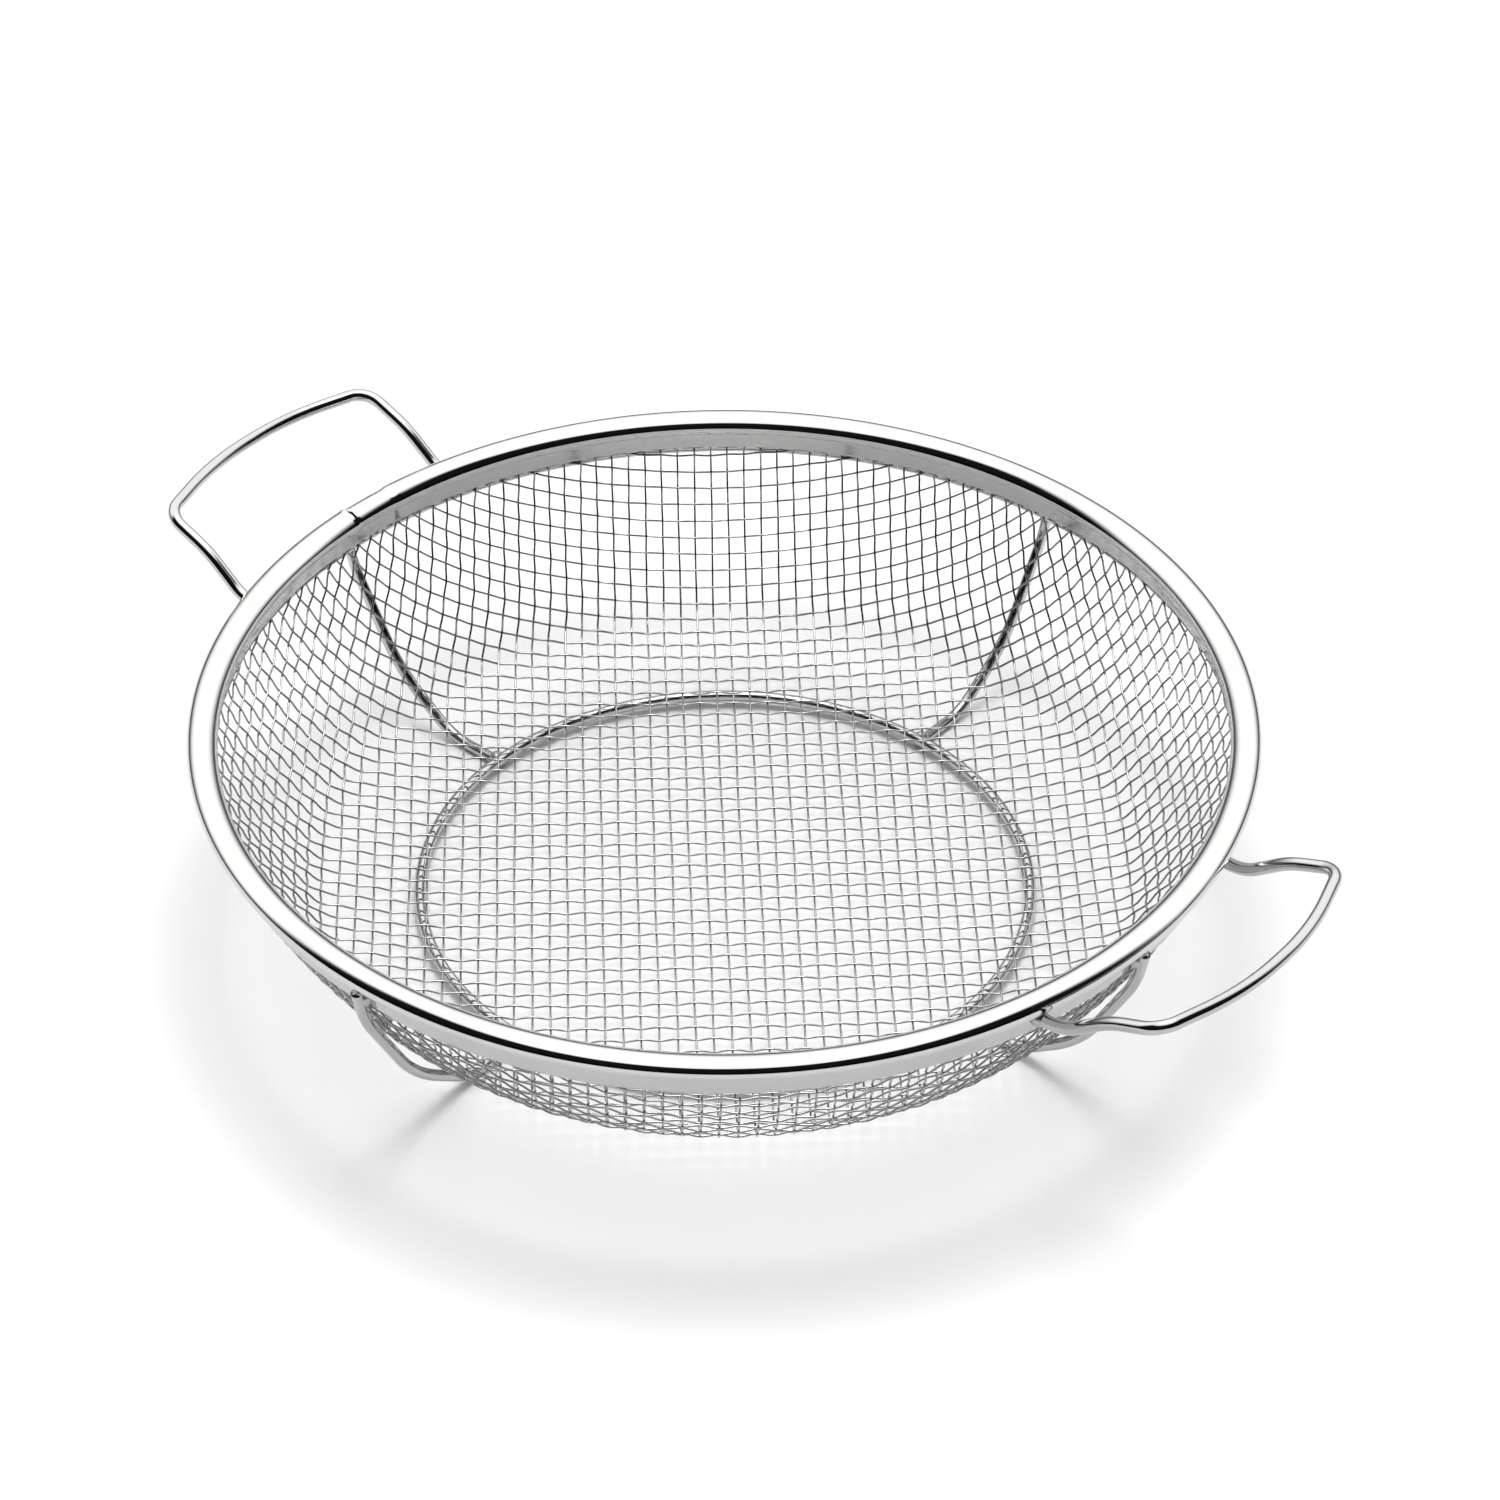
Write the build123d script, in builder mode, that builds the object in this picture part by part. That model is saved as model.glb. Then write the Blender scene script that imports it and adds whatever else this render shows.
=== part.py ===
"""Wire-mesh colander bowl: rolled rim, pressed mesh bowl, base ring, four wire legs, two wire handles.

Millimetres. The origin is on the surface the bowl stands on, under the bowl's centre. +Z is up and
the two handles lie along X.
"""
import os
from math import cos, radians, sin, sqrt, tan

from build123d import *

# --- driving dimensions -------------------------------------------------------------------------
RIM_RADIUS = 127.0          # outside of the rolled bead
RIM_HEIGHT = 53.0           # middle of the bead above the ground
BEAD_HALF_WIDTH = 3.7
BEAD_HALF_HEIGHT = 2.65
BEAD_TILT = 8.0             # degrees that the bead's outer side is raised
SHEET = 0.5                 # rim sheet thickness
FLANGE_TILT = 12.0          # degrees that the flanges lean inwards on their way down
INNER_FLANGE_DEPTH = 6.6    # below the bead's middle
OUTER_FLANGE_DEPTH = 8.4
SEAM_AZIMUTH = 180.0        # where the visible end of the strip lies, in degrees from +X
LAP_ANGLE = 7.0             # degrees of rim that are squeezed and pushed into the other end
LAP_SQUEEZE = 0.25          # how much smaller the squeezed bead is all round

MESH_WIRE = 0.55            # cloth wire diameter; the cloth is two wires thick
MESH_FLAT_RADIUS = 73.0     # flat bottom
MESH_FLAT_BEND = 120.0      # bend radius out of the flat bottom
MESH_KNUCKLE_RADIUS = 98.5  # where the shallow bottom turns up into the wall
MESH_KNUCKLE_RISE = 4.7
MESH_KNUCKLE_BEND = 10.0
MESH_WALL_BULGE = 2.9       # the wall's control point outside the straight line
MESH_WALL_BEND = 120.0
MESH_EDGE_DEPTH = 3.4       # cloth edge below the bead's middle
MESH_GRIP_DEPTH = 9.2       # where the wall meets the flanges, below the bead's middle
MESH_GRIP_BEND = 20.0
FIT_GAP = 0.03              # cloth to flange on each side, and wire to sheet beside a weld

RING_WIRE = 2.8
RING_RADIUS = 74.0          # middle of the ring's wire
RING_LIFT = 1.3             # the ring's underside above the ground

LEG_WIRE = 2.8
LEG_TOP_DEPTH = 3.2         # leg's upper end below the bead's middle
LEG_STRAIGHT = 9.8          # height over which the leg runs straight down along the outer flange
LEG_KNEE = (108.6, 14.0)    # radius and height of the leg's bends
LEG_HEEL_RADIUS = 90.7
LEG_BENDS = (30.0, 40.0, 18.0)
LEGS = {"leg_right": 0, "leg_back": 90, "leg_left": 180, "leg_front": 270}

HANDLE_WIRE = 3.2
HANDLE_ROOT_DEPTH = 4.7     # the ends' middle below the bead's middle
HANDLE_ROOT_HALF = 35.3     # half the distance between a handle's two ends
HANDLE_NECK = (125.2, 35.3)          # X and Y where the wire turns up, clear of the bead
HANDLE_RISE = (137.0, 35.2, 57.0)
HANDLE_CORNER = (150.3, 35.2, 62.0)
HANDLE_BOW = (157.3, 13.0, 62.0)
HANDLE_BENDS = (12.0, 28.0, 6.5, 75.0)     # at the neck, the rise, the corner and the bow
HANDLES = {"handle_right": 2.0, "handle_left": 180.3}     # azimuth of each handle's middle

HANDLE_WELD_RADIUS = 2.3
LEG_WELD_RADIUS = 2.2
LEG_WELD_DEPTH = 5.8        # below the bead's middle
RING_WELD_RADIUS = 2.0
RING_WELD_HEIGHT = 2.1

# --- derived dimensions -------------------------------------------------------------------------
lean = radians(BEAD_TILT)
bead_reach = sqrt((BEAD_HALF_WIDTH * cos(lean)) ** 2 + (BEAD_HALF_HEIGHT * sin(lean)) ** 2)
bead_radius = RIM_RADIUS - bead_reach                 # middle of the bead from the bowl's axis
cloth = 2 * MESH_WIRE
slot = cloth + 2 * FIT_GAP                            # between the two flanges
tilt = radians(FLANGE_TILT)
ring_height = RING_LIFT + RING_WIRE / 2
ring_outside = RING_RADIUS + RING_WIRE / 2
mesh_floor = ring_height + RING_WIRE / 2 + cloth / 2 + 0.05


def flange_middle(height):
    """Radius of the middle of the flange pair at a height."""
    return bead_radius - (RIM_HEIGHT - height) * tan(tilt)


def flange_outside(height):
    """Radius of the outer flange's outer face at a height."""
    return flange_middle(height) + (slot / 2 + SHEET) / cos(tilt)


def upright(azimuth):
    """The upright plane through the bowl's axis: its x runs outwards and its y runs up."""
    turn = radians(azimuth)
    return Plane(origin=(0, 0, 0), x_dir=(cos(turn), sin(turn), 0), z_dir=(sin(turn), -cos(turn), 0))


def finish(piece, name):
    """Name a finished piece and write it."""
    piece.part.label = name
    export_step(piece.part, f"parts/{name}.step")


os.makedirs("parts", exist_ok=True)


# --- rim band -----------------------------------------------------------------------------------
def rim_section(squeeze):
    """The strip's section: a hollow bead that opens down into the slot between two flanges."""
    half_width, half_height = BEAD_HALF_WIDTH - squeeze, BEAD_HALF_HEIGHT - squeeze
    bead = Location((bead_radius, RIM_HEIGHT, 0))
    hang = Location((bead_radius, RIM_HEIGHT, 0), (0, 0, -FLANGE_TILT))
    with Locations(bead):
        Ellipse(half_width, half_height, rotation=BEAD_TILT)
    for side, depth in ((-1, INNER_FLANGE_DEPTH), (1, OUTER_FLANGE_DEPTH)):
        with Locations(hang * Location((side * (slot + SHEET) / 2, -depth / 2, 0))):
            Rectangle(SHEET, depth)
    with Locations(bead):
        Ellipse(half_width - SHEET, half_height - SHEET, rotation=BEAD_TILT, mode=Mode.SUBTRACT)
    with Locations(hang * Location((0, -OUTER_FLANGE_DEPTH / 2, 0))):
        Rectangle(slot, OUTER_FLANGE_DEPTH + SHEET, mode=Mode.SUBTRACT)


with BuildPart() as rim_band:
    with BuildSketch(upright(SEAM_AZIMUTH)):
        rim_section(0)
    revolve(axis=Axis.Z, revolution_arc=360 - LAP_ANGLE)
    with BuildSketch(upright(SEAM_AZIMUTH - LAP_ANGLE)):
        rim_section(LAP_SQUEEZE)
    revolve(axis=Axis.Z, revolution_arc=LAP_ANGLE)
finish(rim_band, "rim_band")

# everything that lies inside the rim's outer skin: the wires' ends and the welds stop at it
with BuildPart() as rim_core:
    with BuildSketch(Plane.XZ):
        bottom, top = RIM_HEIGHT - 13.0, RIM_HEIGHT - BEAD_HALF_HEIGHT / 2
        Polygon(
            (0, bottom), (flange_outside(bottom), bottom), (flange_outside(top), top), (0, top), align=None
        )
        with Locations((bead_radius, RIM_HEIGHT)):
            Ellipse(BEAD_HALF_WIDTH, BEAD_HALF_HEIGHT, rotation=BEAD_TILT)
    revolve(axis=Axis.Z)

# --- mesh bowl ----------------------------------------------------------------------------------
knuckle = (MESH_KNUCKLE_RADIUS, mesh_floor + MESH_KNUCKLE_RISE)
grip_height = RIM_HEIGHT - MESH_GRIP_DEPTH
grip = (flange_middle(grip_height), grip_height)
edge_height = RIM_HEIGHT - MESH_EDGE_DEPTH
wall = Vector(*grip) - Vector(*knuckle)
outward = Vector(wall.Y, -wall.X).normalized()
bulge = Vector(*knuckle) + wall / 2 + outward * MESH_WALL_BULGE

with BuildPart() as mesh_bowl:
    with BuildSketch(Plane.XZ):
        with BuildLine() as middle:
            FilletPolyline(
                (0, mesh_floor),
                (MESH_FLAT_RADIUS, mesh_floor),
                knuckle,
                (bulge.X, bulge.Y),
                grip,
                (flange_middle(edge_height), edge_height),
                radius=(MESH_FLAT_BEND, MESH_KNUCKLE_BEND, MESH_WALL_BEND, MESH_GRIP_BEND),
            )
        trace(line_width=cloth)
    revolve(axis=Axis.Z)
finish(mesh_bowl, "mesh_bowl")

# --- base ring ----------------------------------------------------------------------------------
with BuildPart() as base_ring:
    with BuildSketch(Plane.XZ):
        with Locations((RING_RADIUS, ring_height)):
            Circle(RING_WIRE / 2)
    revolve(axis=Axis.Z)
finish(base_ring, "base_ring")

# --- legs ---------------------------------------------------------------------------------------
leg_top = RIM_HEIGHT - LEG_TOP_DEPTH
beside_flange = LEG_WIRE / 2 / cos(tilt) + FIT_GAP
LEG_ROUTE = (
    (flange_outside(leg_top) + beside_flange, leg_top),
    (flange_outside(leg_top - LEG_STRAIGHT) + beside_flange, leg_top - LEG_STRAIGHT),
    LEG_KNEE,
    (LEG_HEEL_RADIUS, LEG_WIRE / 2),
    (ring_outside + FIT_GAP, LEG_WIRE / 2),
)
legs = []
for name, azimuth in LEGS.items():
    with BuildPart() as leg:
        with BuildLine(upright(azimuth)) as route:
            FilletPolyline(*LEG_ROUTE, radius=LEG_BENDS)
        with BuildSketch(Plane(origin=route.line @ 0, z_dir=route.line % 0)):
            Circle(LEG_WIRE / 2)
        sweep()
    finish(leg, name)
    legs.append(leg.part)

# --- handles ------------------------------------------------------------------------------------
root_height = RIM_HEIGHT - HANDLE_ROOT_DEPTH
root_x = sqrt(flange_outside(root_height) ** 2 - HANDLE_ROOT_HALF ** 2)
half_route = (
    (root_x - HANDLE_WIRE, HANDLE_ROOT_HALF, root_height),
    (*HANDLE_NECK, root_height),
    HANDLE_RISE,
    HANDLE_CORNER,
    HANDLE_BOW,
)
other_half = [(x, -y, z) for x, y, z in reversed(half_route)]
handles = []
for name, azimuth in HANDLES.items():
    with BuildPart() as handle:
        with BuildLine(Plane.XY.rotated((0, 0, azimuth))) as route:
            FilletPolyline(*half_route, *other_half, radius=HANDLE_BENDS + HANDLE_BENDS[::-1])
        with BuildSketch(Plane(origin=route.line @ 0, z_dir=route.line % 0)):
            Circle(HANDLE_WIRE / 2)
        sweep()
        add(rim_core.part, mode=Mode.SUBTRACT)
    finish(handle, name)
    handles.append(handle.part)

# --- welds --------------------------------------------------------------------------------------
with BuildPart() as handle_welds:
    for azimuth in HANDLES.values():
        with Locations(Location((0, 0, 0), (0, 0, azimuth))):
            with Locations((root_x, HANDLE_ROOT_HALF, root_height), (root_x, -HANDLE_ROOT_HALF, root_height)):
                Sphere(HANDLE_WELD_RADIUS)
    add(handles, mode=Mode.SUBTRACT)
    add(rim_core.part, mode=Mode.SUBTRACT)
finish(handle_welds, "handle_welds")

weld_height = RIM_HEIGHT - LEG_WELD_DEPTH
with BuildPart() as leg_rim_welds:
    with Locations(Location((0, 0, weld_height))):
        with PolarLocations(flange_outside(weld_height), len(LEGS)):
            Sphere(LEG_WELD_RADIUS)
    add(legs, mode=Mode.SUBTRACT)
    add(rim_core.part, mode=Mode.SUBTRACT)
finish(leg_rim_welds, "leg_rim_welds")

with BuildPart() as leg_ring_welds:
    with Locations(Location((0, 0, RING_WELD_HEIGHT))):
        with PolarLocations(ring_outside, len(LEGS)):
            Sphere(RING_WELD_RADIUS)
    add(legs, mode=Mode.SUBTRACT)
    add(base_ring.part, mode=Mode.SUBTRACT)
finish(leg_ring_welds, "leg_ring_welds")
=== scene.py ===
"""Looks of the wire-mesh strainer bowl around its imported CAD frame. Lengths are in millimetres up to
the point where a mesh is made, and the frame itself is in metres.
"""

from math import acos, cos, hypot, pi, radians, sin, sqrt, tan

import bpy
import numpy as np
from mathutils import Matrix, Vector


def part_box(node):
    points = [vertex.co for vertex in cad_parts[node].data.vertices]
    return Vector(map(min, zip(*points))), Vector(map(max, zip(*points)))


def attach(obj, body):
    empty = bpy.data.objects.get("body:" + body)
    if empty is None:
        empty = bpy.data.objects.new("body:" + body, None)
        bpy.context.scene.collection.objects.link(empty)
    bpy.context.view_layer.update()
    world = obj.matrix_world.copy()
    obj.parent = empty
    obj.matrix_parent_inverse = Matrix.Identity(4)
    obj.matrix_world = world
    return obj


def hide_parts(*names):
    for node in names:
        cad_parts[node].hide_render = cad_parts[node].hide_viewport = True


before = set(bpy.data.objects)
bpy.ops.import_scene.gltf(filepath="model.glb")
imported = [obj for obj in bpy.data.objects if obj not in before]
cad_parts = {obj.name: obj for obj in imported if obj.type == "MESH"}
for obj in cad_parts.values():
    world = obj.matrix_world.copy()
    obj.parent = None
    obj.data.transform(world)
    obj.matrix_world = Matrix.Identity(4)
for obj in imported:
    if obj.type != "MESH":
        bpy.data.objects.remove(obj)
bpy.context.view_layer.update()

MM = 0.001


# --- sizes, from the frame where a node shows them -------------------------------------------------
def cad_box(node):
    low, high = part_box(node)
    return np.array(low) / MM, np.array(high) / MM


rim_high = cad_box("rim_band")[1]
ring_low, ring_high = cad_box("base_ring")
mesh_low = cad_box("mesh_bowl")[0]

BEAD_HALF_WIDTH = 3.7
BEAD_HALF_HEIGHT = 2.65
BEAD_TILT = radians(8.0)
SHEET = 0.5
FLANGE_TILT = radians(12.0)
INNER_FLANGE_DEPTH = 6.6
OUTER_FLANGE_DEPTH = 8.4
RIM_RADIUS = rim_high[0]
RIM_HEIGHT = rim_high[2] - hypot(BEAD_HALF_WIDTH * sin(BEAD_TILT), BEAD_HALF_HEIGHT * cos(BEAD_TILT))
BEAD_RADIUS = RIM_RADIUS - hypot(BEAD_HALF_WIDTH * cos(BEAD_TILT), BEAD_HALF_HEIGHT * sin(BEAD_TILT))
SEAM_AZIMUTH = 180.0
LAP_ANGLE = 7.0
LAP_SQUEEZE = 0.3
NECK_ANGLE = 1.6
FLANGE_SQUEEZE = 0.15
SEAM_GROOVE = 0.5
GROOVE_ANGLE = 0.45
TUCK_ANGLE = 2.0

MESH_WIRE = 0.55
MESH_PITCH = 4.25
WEAVE_AZIMUTH = 42.6
CLOTH = 2 * MESH_WIRE
MESH_FLOOR = mesh_low[2] + CLOTH / 2
MESH_FLAT_RADIUS = 73.0
MESH_KNUCKLE = (98.5, MESH_FLOOR + 4.7)
MESH_BULGE = 2.9
MESH_BENDS = (120.0, 10.0, 120.0, 20.0)
MESH_GRIP_DEPTH = 9.2
MESH_EDGE_DEPTH = 3.4
PROFILE_STEP = 0.25
WAVER = 0.10                          # sideways waviness of the woven wires
WAVER_RATE = 0.11
FIT_GAP = 0.03
SLOT = CLOTH + 2 * FIT_GAP

RING_WIRE = ring_high[2] - ring_low[2]
RING_RADIUS = ring_high[0] - RING_WIRE / 2
RING_HEIGHT = (ring_high[2] + ring_low[2]) / 2

LEG_WIRE = 2.8
LEG_TOP_DEPTH = 3.2
LEG_STRAIGHT = 9.8
LEG_KNEE = (108.6, 14.0)
LEG_HEEL_RADIUS = 90.7
LEG_BENDS = (30.0, 40.0, 18.0)
LEG_AZIMUTHS = {"leg_right": 0, "leg_back": 90, "leg_left": 180, "leg_front": 270}

HANDLE_WIRE = 3.2
HANDLE_ROOT_DEPTH = 4.7
HANDLE_ROOT_HALF = 35.3
HANDLE_NECK = (125.2, 35.3)
HANDLE_RISE = (137.0, 35.2, 57.0)
HANDLE_CORNER = (150.3, 35.2, 62.0)
HANDLE_BOW = (157.3, 13.0, 62.0)
HANDLE_BENDS = (12.0, 28.0, 6.5, 75.0)
HANDLE_END_GAP = 0.95                 # the weld fills it, and the square end stays clear of the flange
HANDLE_AZIMUTHS = {"handle_right": 2.0, "handle_left": 180.3}


# --- geometry helpers ------------------------------------------------------------------------------
def unit(v):
    return v / np.linalg.norm(v, axis=-1, keepdims=True)


def rounded(points, bends, step):
    """The polyline through points with each inner corner rounded to its bend radius, in short steps."""
    pts = [np.array(p, float) for p in points]
    corners = [pts[0]]
    for before, here, after, bend in zip(pts, pts[1:], pts[2:], bends):
        back, on = unit(before - here), unit(after - here)
        inside = acos(max(-1.0, min(1.0, float(back @ on))))
        turn = pi - inside
        start = here + back * bend * tan(turn / 2)
        centre = here + unit(back + on) * bend / sin(inside / 2)
        out, along = (start - centre) / bend, -back
        n = max(2, int(np.ceil(bend * turn / step)))
        for k in range(n + 1):
            a = turn * k / n
            corners.append(centre + bend * (cos(a) * out + sin(a) * along))
    corners.append(pts[-1])
    line = [corners[0]]
    for p in corners[1:]:
        q = line[-1]
        n = max(1, int(np.ceil(np.linalg.norm(p - q) / step)))
        if np.linalg.norm(p - q) > 1e-6:
            line.extend(q + (p - q) * k / n for k in range(1, n + 1))
    return np.array(line)


def carried(points):
    """A normal at each point that turns with the line and never spins round it."""
    t = unit(np.gradient(points, axis=0))
    side = np.array((0.0, 0.0, 1.0)) if abs(t[0][2]) < 0.9 else np.array((1.0, 0.0, 0.0))
    normals = []
    for d in t:
        side = unit(side - d * (side @ d))
        normals.append(side)
    return np.array(normals)


def tube(points, normals, radius, sides):
    """Vertices and faces of a closed round bar along points; radius is one number or one for each point."""
    t = unit(np.gradient(points, axis=0))
    n = unit(normals - t * np.sum(normals * t, axis=1, keepdims=True))
    b = np.cross(t, n)
    radius = np.broadcast_to(np.asarray(radius, float), len(points))[:, None, None]
    turn = np.arange(sides) * 2 * pi / sides
    ring = np.cos(turn)[None, :, None] * n[:, None, :] + np.sin(turn)[None, :, None] * b[:, None, :]
    verts = (points[:, None, :] + radius * ring).reshape(-1, 3)
    rows = len(points)
    k, i = np.meshgrid(np.arange(rows - 1) * sides, np.arange(sides), indexing="ij")
    j = (i + 1) % sides
    quads = np.stack([k + i, k + j, k + sides + j, k + sides + i], axis=-1).reshape(-1, 4)
    faces = [tuple(int(x) for x in q) for q in quads]
    faces.append(tuple(range(sides - 1, -1, -1)))
    faces.append(tuple((rows - 1) * sides + x for x in range(sides)))
    return verts, faces


def join(parts):
    """One vertex list and one face list from several."""
    verts, faces, count = [], [], 0
    for v, f in parts:
        verts.append(v)
        faces.extend(tuple(x + count for x in face) for face in f)
        count += len(v)
    return np.concatenate(verts), faces


def make_piece(name, verts, faces, material, smooth=True):
    """A mesh object in the row frame, made from millimetres."""
    mesh = bpy.data.meshes.new(name)
    mesh.from_pydata([tuple(v) for v in np.asarray(verts) * MM], [], faces)
    mesh.validate()
    mesh.polygons.foreach_set("use_smooth", [smooth] * len(mesh.polygons))
    mesh.materials.append(material)
    mesh.update()
    piece = bpy.data.objects.new(name, mesh)
    bpy.context.scene.collection.objects.link(piece)
    return piece


def at_azimuth(radius, height, azimuth):
    """3-D points of a (radius, height) line in the upright plane at an azimuth in degrees."""
    a = radians(azimuth)
    return np.stack([radius * cos(a), radius * sin(a), height], axis=-1)


def turned(points, azimuth):
    """3-D points turned about the bowl's axis by degrees."""
    a = radians(azimuth)
    x, y = points[:, 0], points[:, 1]
    return np.stack([x * cos(a) - y * sin(a), x * sin(a) + y * cos(a), points[:, 2]], axis=-1)


def flange_middle(height):
    return BEAD_RADIUS - (RIM_HEIGHT - height) * tan(FLANGE_TILT)


def flange_outside(height):
    return flange_middle(height) + (SLOT / 2 + SHEET) / cos(FLANGE_TILT)


# --- materials -------------------------------------------------------------------------------------
def steel(name, colour, roughness, wear, grain, bump):
    """Polished or drawn steel: slight waves in the surface, fine grain in the gloss, faint stains."""
    material = bpy.data.materials.new(name)
    material.use_nodes = True
    tree = material.node_tree
    shader = tree.nodes["Principled BSDF"]
    shader.inputs["Metallic"].default_value = 1.0
    place = tree.nodes.new("ShaderNodeTexCoord")

    def noise(scale, detail, stretch):
        mapping = tree.nodes.new("ShaderNodeMapping")
        mapping.inputs["Scale"].default_value = stretch
        tree.links.new(place.outputs["Object"], mapping.inputs["Vector"])
        texture = tree.nodes.new("ShaderNodeTexNoise")
        texture.inputs["Scale"].default_value = scale
        texture.inputs["Detail"].default_value = detail
        tree.links.new(mapping.outputs["Vector"], texture.inputs["Vector"])
        return texture.outputs["Fac"]

    def ramp(value, low, high):
        spread = tree.nodes.new("ShaderNodeMapRange")
        spread.inputs["From Min"].default_value = 0.3
        spread.inputs["From Max"].default_value = 0.7
        spread.inputs["To Min"].default_value = low
        spread.inputs["To Max"].default_value = high
        tree.links.new(value, spread.inputs["Value"])
        return spread.outputs["Result"]

    gloss = ramp(noise(grain, 4.0, (1, 1, 1)), roughness, roughness + wear)
    tree.links.new(gloss, shader.inputs["Roughness"])
    tint = tree.nodes.new("ShaderNodeMix")
    tint.data_type = "RGBA"
    tint.inputs["A"].default_value = (*[c * 0.93 for c in colour], 1)
    tint.inputs["B"].default_value = (*colour, 1)
    tree.links.new(ramp(noise(60.0, 3.0, (1, 1, 1)), 0.0, 1.0), tint.inputs["Factor"])
    tree.links.new(tint.outputs["Result"], shader.inputs["Base Color"])
    waves = tree.nodes.new("ShaderNodeBump")
    waves.inputs["Strength"].default_value = bump
    waves.inputs["Distance"].default_value = 0.0002
    tree.links.new(noise(grain / 3, 2.0, (1, 1, 1)), waves.inputs["Height"])
    tree.links.new(waves.outputs["Normal"], shader.inputs["Normal"])
    return material


polished = steel("polished_steel", (0.60, 0.595, 0.59), 0.05, 0.05, 600.0, 0.05)
cloth_steel = steel("wire_cloth", (0.36, 0.355, 0.35), 0.14, 0.10, 900.0, 0.15)
wire_steel = steel("steel_wire", (0.50, 0.495, 0.49), 0.08, 0.06, 700.0, 0.08)
weld_steel = steel("weld", (0.46, 0.455, 0.45), 0.22, 0.20, 1500.0, 0.8)


def dress(piece, slot_name, *nodes):
    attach(piece, "root")
    if nodes:
        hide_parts(*nodes)
    return piece


# --- mesh bowl: plain weave laid on the bowl's surface ----------------------------------------------
grip_height = RIM_HEIGHT - MESH_GRIP_DEPTH
edge_height = RIM_HEIGHT - MESH_EDGE_DEPTH
knuckle = np.array(MESH_KNUCKLE)
grip = np.array((flange_middle(grip_height), grip_height))
edge = np.array((flange_middle(edge_height), edge_height))
wall = grip - knuckle
bulge = knuckle + wall / 2 + unit(np.array((wall[1], -wall[0]))) * MESH_BULGE
beyond = edge + unit(edge - grip) * 3 * MESH_PITCH
profile = rounded(
    ((0, MESH_FLOOR), (MESH_FLAT_RADIUS, MESH_FLOOR), knuckle, bulge, grip, beyond), MESH_BENDS, PROFILE_STEP
)
profile_arc = np.concatenate([[0], np.cumsum(np.linalg.norm(np.diff(profile, axis=0), axis=1))])
profile_slope = unit(np.gradient(profile, axis=0))
on_wall = profile[:, 0] > MESH_KNUCKLE[0]
edge_arc = float(np.interp(edge_height, profile[on_wall, 1], profile_arc[on_wall]))


def on_surface(flat):
    """Points and inward normals of the bowl's middle surface. flat is the place on the unrolled bowl:
    its length is the distance along the surface from the centre and its direction is the azimuth."""
    s = np.maximum(np.linalg.norm(flat, axis=-1), 1e-9)
    way = flat / s[..., None]
    r, z = np.interp(s, profile_arc, profile[:, 0]), np.interp(s, profile_arc, profile[:, 1])
    dr, dz = np.interp(s, profile_arc, profile_slope[:, 0]), np.interp(s, profile_arc, profile_slope[:, 1])
    point = np.concatenate([way * r[..., None], z[..., None]], axis=-1)
    normal = np.concatenate([-way * dz[..., None], dr[..., None]], axis=-1)
    return point, normal


def next_node(a, b, c):
    """The fourth corner of a cell whose four sides are one pitch long, from a, b and the corner c
    between them. Cloth that is pressed into a bowl keeps its pitch and shears like a net."""
    pa, pb = on_surface(a)[0], on_surface(b)[0]
    x = a + b - c
    for _ in range(8):
        p = on_surface(x)[0]
        miss = np.array((np.linalg.norm(p - pa), np.linalg.norm(p - pb))) - MESH_PITCH
        if abs(miss).max() < 1e-5:
            break
        h = 1e-4
        jac = np.empty((2, 2))
        for k in range(2):
            y = x.copy()
            y[k] += h
            q = on_surface(y)[0]
            moved = np.array((np.linalg.norm(q - pa), np.linalg.norm(q - pb))) - MESH_PITCH
            jac[:, k] = (moved - miss) / h
        x = x - np.linalg.solve(jac, miss)
    return x


reach = int(edge_arc / MESH_PITCH) + 2
net = np.zeros((reach + 1, reach + 1, 2))
for i in range(reach + 1):
    net[i, 0] = (i * MESH_PITCH, 0)
    net[0, i] = (0, i * MESH_PITCH)
for i in range(1, reach + 1):
    for j in range(1, reach + 1):
        left, below, corner = net[i - 1, j], net[i, j - 1], net[i - 1, j - 1]
        if max(np.linalg.norm(left), np.linalg.norm(below)) > edge_arc + MESH_PITCH:
            net[i, j] = left + below - corner
        else:
            net[i, j] = next_node(left, below, corner)


def net_node(i, j):
    x, y = net[abs(i), abs(j)]
    return np.array((x if i >= 0 else -x, y if j >= 0 else -y))


STEPS = 4
WIRE_SIDES = 6
weave_turn = radians(WEAVE_AZIMUTH)
weave_matrix = np.array(((cos(weave_turn), sin(weave_turn)), (-sin(weave_turn), cos(weave_turn))))


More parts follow.
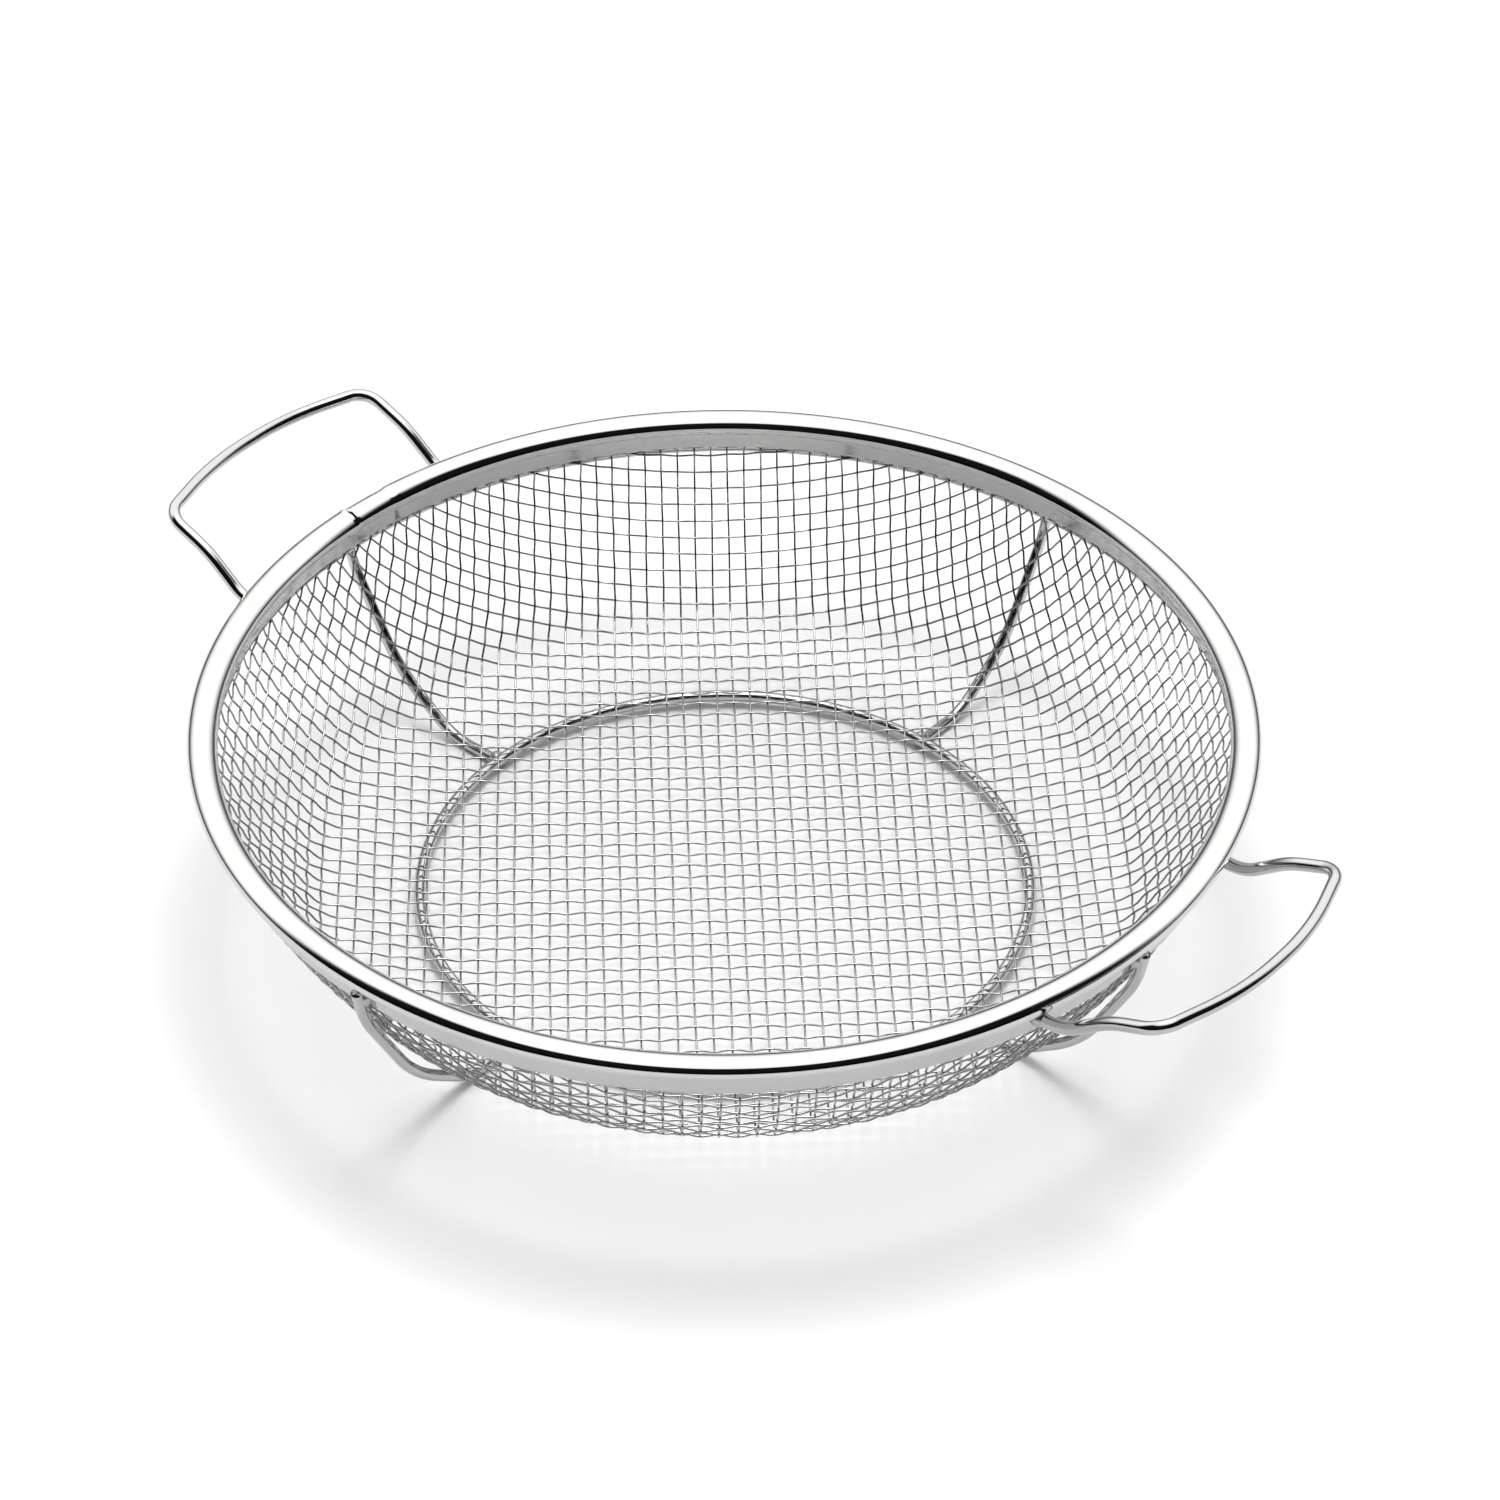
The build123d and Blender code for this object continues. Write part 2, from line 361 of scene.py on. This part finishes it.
def woven_wire(line, across):
    """One wire of the cloth, number line of its family, from edge to edge of the bowl."""
    def node(k):
        return net_node(k, line) if across else net_node(line, k)

    span = [k for k in range(-reach, reach + 1) if np.linalg.norm(node(k)) < edge_arc]
    if len(span) < 2:
        return None
    ks = list(range(max(span[0] - 1, -reach), min(span[-1] + 1, reach) + 1))
    nodes = np.array([node(k) for k in ks])
    nodes = nodes + WAVER * np.sin(nodes[:, ::-1] * WAVER_RATE + line * 1.7 + across)
    t = np.arange((len(ks) - 1) * STEPS + 1) / STEPS
    flat = np.stack([np.interp(t, np.arange(len(ks)), nodes[:, c]) for c in range(2)], axis=-1)
    lift = np.cos(pi * (t + ks[0] + line + across)) * MESH_WIRE / 2
    s = np.linalg.norm(flat, axis=1)
    keep = np.where(s <= edge_arc)[0]
    first, last = keep[0], keep[-1]
    pieces_flat, pieces_lift = [flat[first:last + 1]], [lift[first:last + 1]]
    for end, beyond_end, front in ((first, first - 1, True), (last, last + 1, False)):
        if 0 <= beyond_end < len(flat) and abs(s[beyond_end] - s[end]) > 1e-6:
            f = (edge_arc - s[end]) / (s[beyond_end] - s[end])
            if f > 0.05:
                p = flat[end] + (flat[beyond_end] - flat[end]) * f
                q = lift[end] + (lift[beyond_end] - lift[end]) * f
                pieces_flat.insert(0 if front else len(pieces_flat), p[None])
                pieces_lift.insert(0 if front else len(pieces_lift), np.array([q]))
    flat, lift = np.concatenate(pieces_flat), np.concatenate(pieces_lift)
    point, normal = on_surface(flat @ weave_matrix)
    return tube(point + normal * lift[:, None], normal, MESH_WIRE / 2, WIRE_SIDES)


woven = []
for across, name in ((0, "cloth_warp"), (1, "cloth_weft")):
    wires = [w for w in (woven_wire(line, across) for line in range(-reach, reach + 1)) if w]
    woven.append(make_piece(name, *join(wires), cloth_steel))
dress(woven[0], "wire_cloth", "mesh_bowl")
dress(woven[1], "wire_cloth")


# --- rim band: rolled bead over two flanges, one end squeezed into the other ------------------------
down = np.array((-sin(FLANGE_TILT), -cos(FLANGE_TILT)))
out = np.array((cos(FLANGE_TILT), -sin(FLANGE_TILT)))
bead_centre = np.array((BEAD_RADIUS, RIM_HEIGHT))
BEAD_TRIALS = 7200
BEAD_POINTS = 72
FLANGE_POINTS = 8


def bead_point(theta, half_width, half_height):
    x, y = half_width * np.cos(theta), half_height * np.sin(theta)
    across, up = x * cos(BEAD_TILT) - y * sin(BEAD_TILT), x * sin(BEAD_TILT) + y * cos(BEAD_TILT)
    return np.stack([across, up], axis=-1)


def strip_side(half_width, half_height, offset):
    """One face of the strip: up the inner flange, round the bead and down the outer flange."""
    theta = np.linspace(-pi, pi, BEAD_TRIALS)
    trial = bead_point(theta, half_width, half_height)
    below = trial @ down > 0
    inner = theta[below][np.argmin(abs(trial[below] @ out + offset))]
    outer = theta[below][np.argmin(abs(trial[below] @ out - offset))]
    start = inner + 2 * pi if inner < outer else inner
    bead = bead_point(np.linspace(start, outer, BEAD_POINTS), half_width, half_height)
    up_inside = np.linspace(INNER_FLANGE_DEPTH, bead[0] @ down, FLANGE_POINTS)[:-1]
    down_outside = np.linspace(bead[-1] @ down, OUTER_FLANGE_DEPTH, FLANGE_POINTS)[1:]
    rise = [out * -offset + down * x for x in up_inside]
    fall = [out * offset + down * x for x in down_outside]
    return np.concatenate([rise, bead, fall])


def strip_section(squeeze):
    """Outer face and inner face of the strip, as matching lists of (radius, height) offsets."""
    thinned = min(squeeze, FLANGE_SQUEEZE)
    outer = strip_side(BEAD_HALF_WIDTH - squeeze, BEAD_HALF_HEIGHT - squeeze, SLOT / 2 + SHEET - thinned)
    inner = strip_side(BEAD_HALF_WIDTH - squeeze - SHEET, BEAD_HALF_HEIGHT - squeeze - SHEET, SLOT / 2)
    return outer, inner


def smooth_step(x, start, end):
    x = max(0.0, min(1.0, (x - start) / (end - start)))
    return x * x * (3 - 2 * x)


def squeeze_at(turn):
    """How far the bead is squeezed, turn degrees past the seam: the strip's last degrees narrow to a
    lap, dip into a groove at the seam and tuck under the strip's beginning."""
    lap = LAP_SQUEEZE * smooth_step(turn, 360 - LAP_ANGLE, 360 - LAP_ANGLE + NECK_ANGLE)
    return lap + SEAM_GROOVE * smooth_step(turn, 360 - GROOVE_ANGLE, 360)


section_full = strip_section(0.0)
past_seam = np.concatenate([
    np.linspace(0, 360 - LAP_ANGLE, 500)[:-1],
    np.linspace(360 - LAP_ANGLE, 360 - GROOVE_ANGLE, 30)[:-1],
    np.linspace(360 - GROOVE_ANGLE, 360, 10)[:-1],
    np.linspace(360, 360 + TUCK_ANGLE, 8),
])
rows = []
for turn in past_seam:
    squeeze = squeeze_at(turn)
    outer, inner = strip_section(squeeze) if squeeze > 0 else section_full
    loop = np.concatenate([outer, inner[::-1]]) + bead_centre
    rows.append(at_azimuth(loop[:, 0], loop[:, 1], SEAM_AZIMUTH + turn))
rim_verts = np.concatenate(rows)
n_loop, n_side = len(rows[0]), len(section_full[0])
rim_faces = []
for k in range(len(rows) - 1):
    for i in range(n_loop):
        j = (i + 1) % n_loop
        rim_faces.append((k * n_loop + i, k * n_loop + j, (k + 1) * n_loop + j, (k + 1) * n_loop + i))
for k, flip in ((0, False), (len(rows) - 1, True)):
    for i in range(n_side - 1):
        quad = (k * n_loop + i, k * n_loop + i + 1, k * n_loop + n_loop - 2 - i, k * n_loop + n_loop - 1 - i)
        rim_faces.append(quad[::-1] if flip else quad)
rim = make_piece("rim_strip", rim_verts, rim_faces, polished)
dress(rim, "polished_steel", "rim_band")

# --- ring, legs and handles -------------------------------------------------------------------------
TUBE_SIDES = 28
RING_STEPS = 360
WIRE_STEP = 0.8


def closed_ring(radius, height, wire):
    """Vertices and faces of a round wire bent to a full circle."""
    sides, count = TUBE_SIDES, RING_STEPS
    verts, faces = [], []
    for k in range(count):
        a = 2 * pi * k / count
        for i in range(sides):
            b = 2 * pi * i / sides
            r = radius + wire / 2 * cos(b)
            verts.append((r * cos(a), r * sin(a), height + wire / 2 * sin(b)))
    for k in range(count):
        for i in range(sides):
            n, j = (k + 1) % count, (i + 1) % sides
            faces.append((k * sides + i, n * sides + i, n * sides + j, k * sides + j))
    return np.array(verts), faces


ring = make_piece("ring_wire", *closed_ring(RING_RADIUS, RING_HEIGHT, RING_WIRE), wire_steel)
dress(ring, "steel_wire", "base_ring")

leg_top = RIM_HEIGHT - LEG_TOP_DEPTH
beside_flange = LEG_WIRE / 2 / cos(FLANGE_TILT) + FIT_GAP
leg_route = rounded((
    (flange_outside(leg_top) + beside_flange, leg_top),
    (flange_outside(leg_top - LEG_STRAIGHT) + beside_flange, leg_top - LEG_STRAIGHT),
    LEG_KNEE,
    (LEG_HEEL_RADIUS, LEG_WIRE / 2),
    (RING_RADIUS + RING_WIRE / 2 + FIT_GAP, LEG_WIRE / 2),
), LEG_BENDS, WIRE_STEP)
for node, azimuth in LEG_AZIMUTHS.items():
    line = at_azimuth(leg_route[:, 0], leg_route[:, 1], azimuth)
    leg = make_piece(node + "_wire", *tube(line, carried(line), LEG_WIRE / 2, TUBE_SIDES), wire_steel)
    dress(leg, "steel_wire", node)

root_height = RIM_HEIGHT - HANDLE_ROOT_DEPTH
root_x = sqrt(flange_outside(root_height) ** 2 - HANDLE_ROOT_HALF ** 2)
half_route = (
    (root_x + HANDLE_END_GAP, HANDLE_ROOT_HALF, root_height),
    (*HANDLE_NECK, root_height),
    HANDLE_RISE,
    HANDLE_CORNER,
    HANDLE_BOW,
)
other_half = tuple((x, -y, z) for x, y, z in reversed(half_route))
straight = rounded(half_route + other_half, HANDLE_BENDS + HANDLE_BENDS[::-1], WIRE_STEP)
for node, azimuth in HANDLE_AZIMUTHS.items():
    line = turned(straight, azimuth)
    handle = make_piece(node + "_wire", *tube(line, carried(line), HANDLE_WIRE / 2, TUBE_SIDES), wire_steel)
    dress(handle, "steel_wire", node)

for node in ("handle_welds", "leg_rim_welds", "leg_ring_welds"):
    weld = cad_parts[node]
    for k in range(max(1, len(weld.material_slots))):
        if len(weld.material_slots) > k:
            weld.material_slots[k].material = weld_steel
        else:
            weld.data.materials.append(weld_steel)

# --- studio ------------------------------------------------------------------------------------------
CAMERA_AZIMUTH = -49.3
CAMERA_ELEVATION = 38.35
CAMERA_DISTANCE = 1222.0
CAMERA_TARGET = (12.51, -5.23, RIM_HEIGHT + 0.28)
LENS = 124.8

a, e = radians(CAMERA_AZIMUTH), radians(CAMERA_ELEVATION)
to_camera = np.array((cos(a) * cos(e), sin(a) * cos(e), sin(e)))
camera_data = bpy.data.cameras.new("camera")
camera_data.lens = LENS
camera_data.sensor_width = 36.0
camera_data.clip_start, camera_data.clip_end = 0.01, 50.0
camera = bpy.data.objects.new("camera", camera_data)
bpy.context.scene.collection.objects.link(camera)
camera.location = Vector((np.array(CAMERA_TARGET) + to_camera * CAMERA_DISTANCE) * MM)
camera.rotation_mode = "QUATERNION"
camera.rotation_quaternion = Vector(-to_camera).to_track_quat("-Z", "Y")
bpy.context.scene.camera = camera

# floor
FLOOR_HALF = 3000.0
FLOOR_LINES = 9
floor_rows = np.linspace(-FLOOR_HALF, FLOOR_HALF, FLOOR_LINES)
floor_verts = [(x, y, 0.0) for y in floor_rows for x in floor_rows]
starts = [r * FLOOR_LINES + c for r in range(FLOOR_LINES - 1) for c in range(FLOOR_LINES - 1)]
floor_faces = [(k, k + 1, k + FLOOR_LINES + 1, k + FLOOR_LINES) for k in starts]
pale = bpy.data.materials.new("floor")
pale.use_nodes = True
matt = pale.node_tree.nodes["Principled BSDF"]
matt.inputs["Base Color"].default_value = (0.9, 0.9, 0.9, 1)
matt.inputs["Roughness"].default_value = 0.9
floor = make_piece("floor", floor_verts, floor_faces, pale)

# surroundings: bright tent overhead, grey walls lower down, a dark room behind the camera
TENT = 1.75
WALL = 0.10
DARK = 0.006
TENT_FROM, TENT_FULL = sin(radians(4.0)), sin(radians(32.0))
ROOM_TOP_FROM, ROOM_TOP = sin(radians(57.0)), sin(radians(70.0))
ROOM_SIDE_FROM, ROOM_SIDE = -0.35, 0.1          # cosines of the angle from the camera's azimuth
world = bpy.data.worlds.new("studio")
bpy.context.scene.world = world
world.use_nodes = True
tree = world.node_tree
background = tree.nodes["Background"]
direction = tree.nodes.new("ShaderNodeTexCoord")
split = tree.nodes.new("ShaderNodeSeparateXYZ")
tree.links.new(direction.outputs["Generated"], split.inputs["Vector"])
toward = tree.nodes.new("ShaderNodeVectorMath")
toward.operation = "DOT_PRODUCT"
toward.inputs[1].default_value = (cos(a), sin(a), 0)
tree.links.new(direction.outputs["Generated"], toward.inputs[0])


def stepped(value, low, high, to_low, to_high):
    node = tree.nodes.new("ShaderNodeMapRange")
    node.interpolation_type = "SMOOTHSTEP"
    for key, number in (("From Min", low), ("From Max", high), ("To Min", to_low), ("To Max", to_high)):
        node.inputs[key].default_value = number
    tree.links.new(value, node.inputs["Value"])
    return node.outputs["Result"]


def times(first, second):
    node = tree.nodes.new("ShaderNodeMath")
    node.operation = "MULTIPLY"
    tree.links.new(first, node.inputs[0])
    tree.links.new(second, node.inputs[1])
    return node.outputs["Value"]


tent = stepped(split.outputs["Z"], TENT_FROM, TENT_FULL, WALL, TENT)
near_camera = stepped(toward.outputs["Value"], ROOM_SIDE_FROM, ROOM_SIDE, 0.0, 1.0)
below_top = stepped(split.outputs["Z"], ROOM_TOP_FROM, ROOM_TOP, 1.0, 0.0)
room = stepped(times(near_camera, below_top), 0.0, 1.0, 1.0, DARK)
tree.links.new(times(tent, room), background.inputs["Strength"])
background.inputs["Color"].default_value = (1, 1, 1, 1)

# one broad soft light overhead and a little behind, for the floor and its soft shadows
OVERHEAD_SIZE = 500.0
OVERHEAD_PLACE = (-150.0, 200.0, 1100.0)
OVERHEAD_POWER = 6.0
overhead_data = bpy.data.lights.new("overhead", "AREA")
overhead_data.shape = "DISK"
overhead_data.size = OVERHEAD_SIZE * MM
overhead_data.energy = OVERHEAD_POWER
overhead = bpy.data.objects.new("overhead", overhead_data)
bpy.context.scene.collection.objects.link(overhead)
overhead.location = Vector(OVERHEAD_PLACE) * MM
overhead.rotation_mode = "QUATERNION"
overhead.rotation_quaternion = (-Vector(OVERHEAD_PLACE)).to_track_quat("-Z", "Y")

bpy.context.scene.view_settings.view_transform = "Standard"
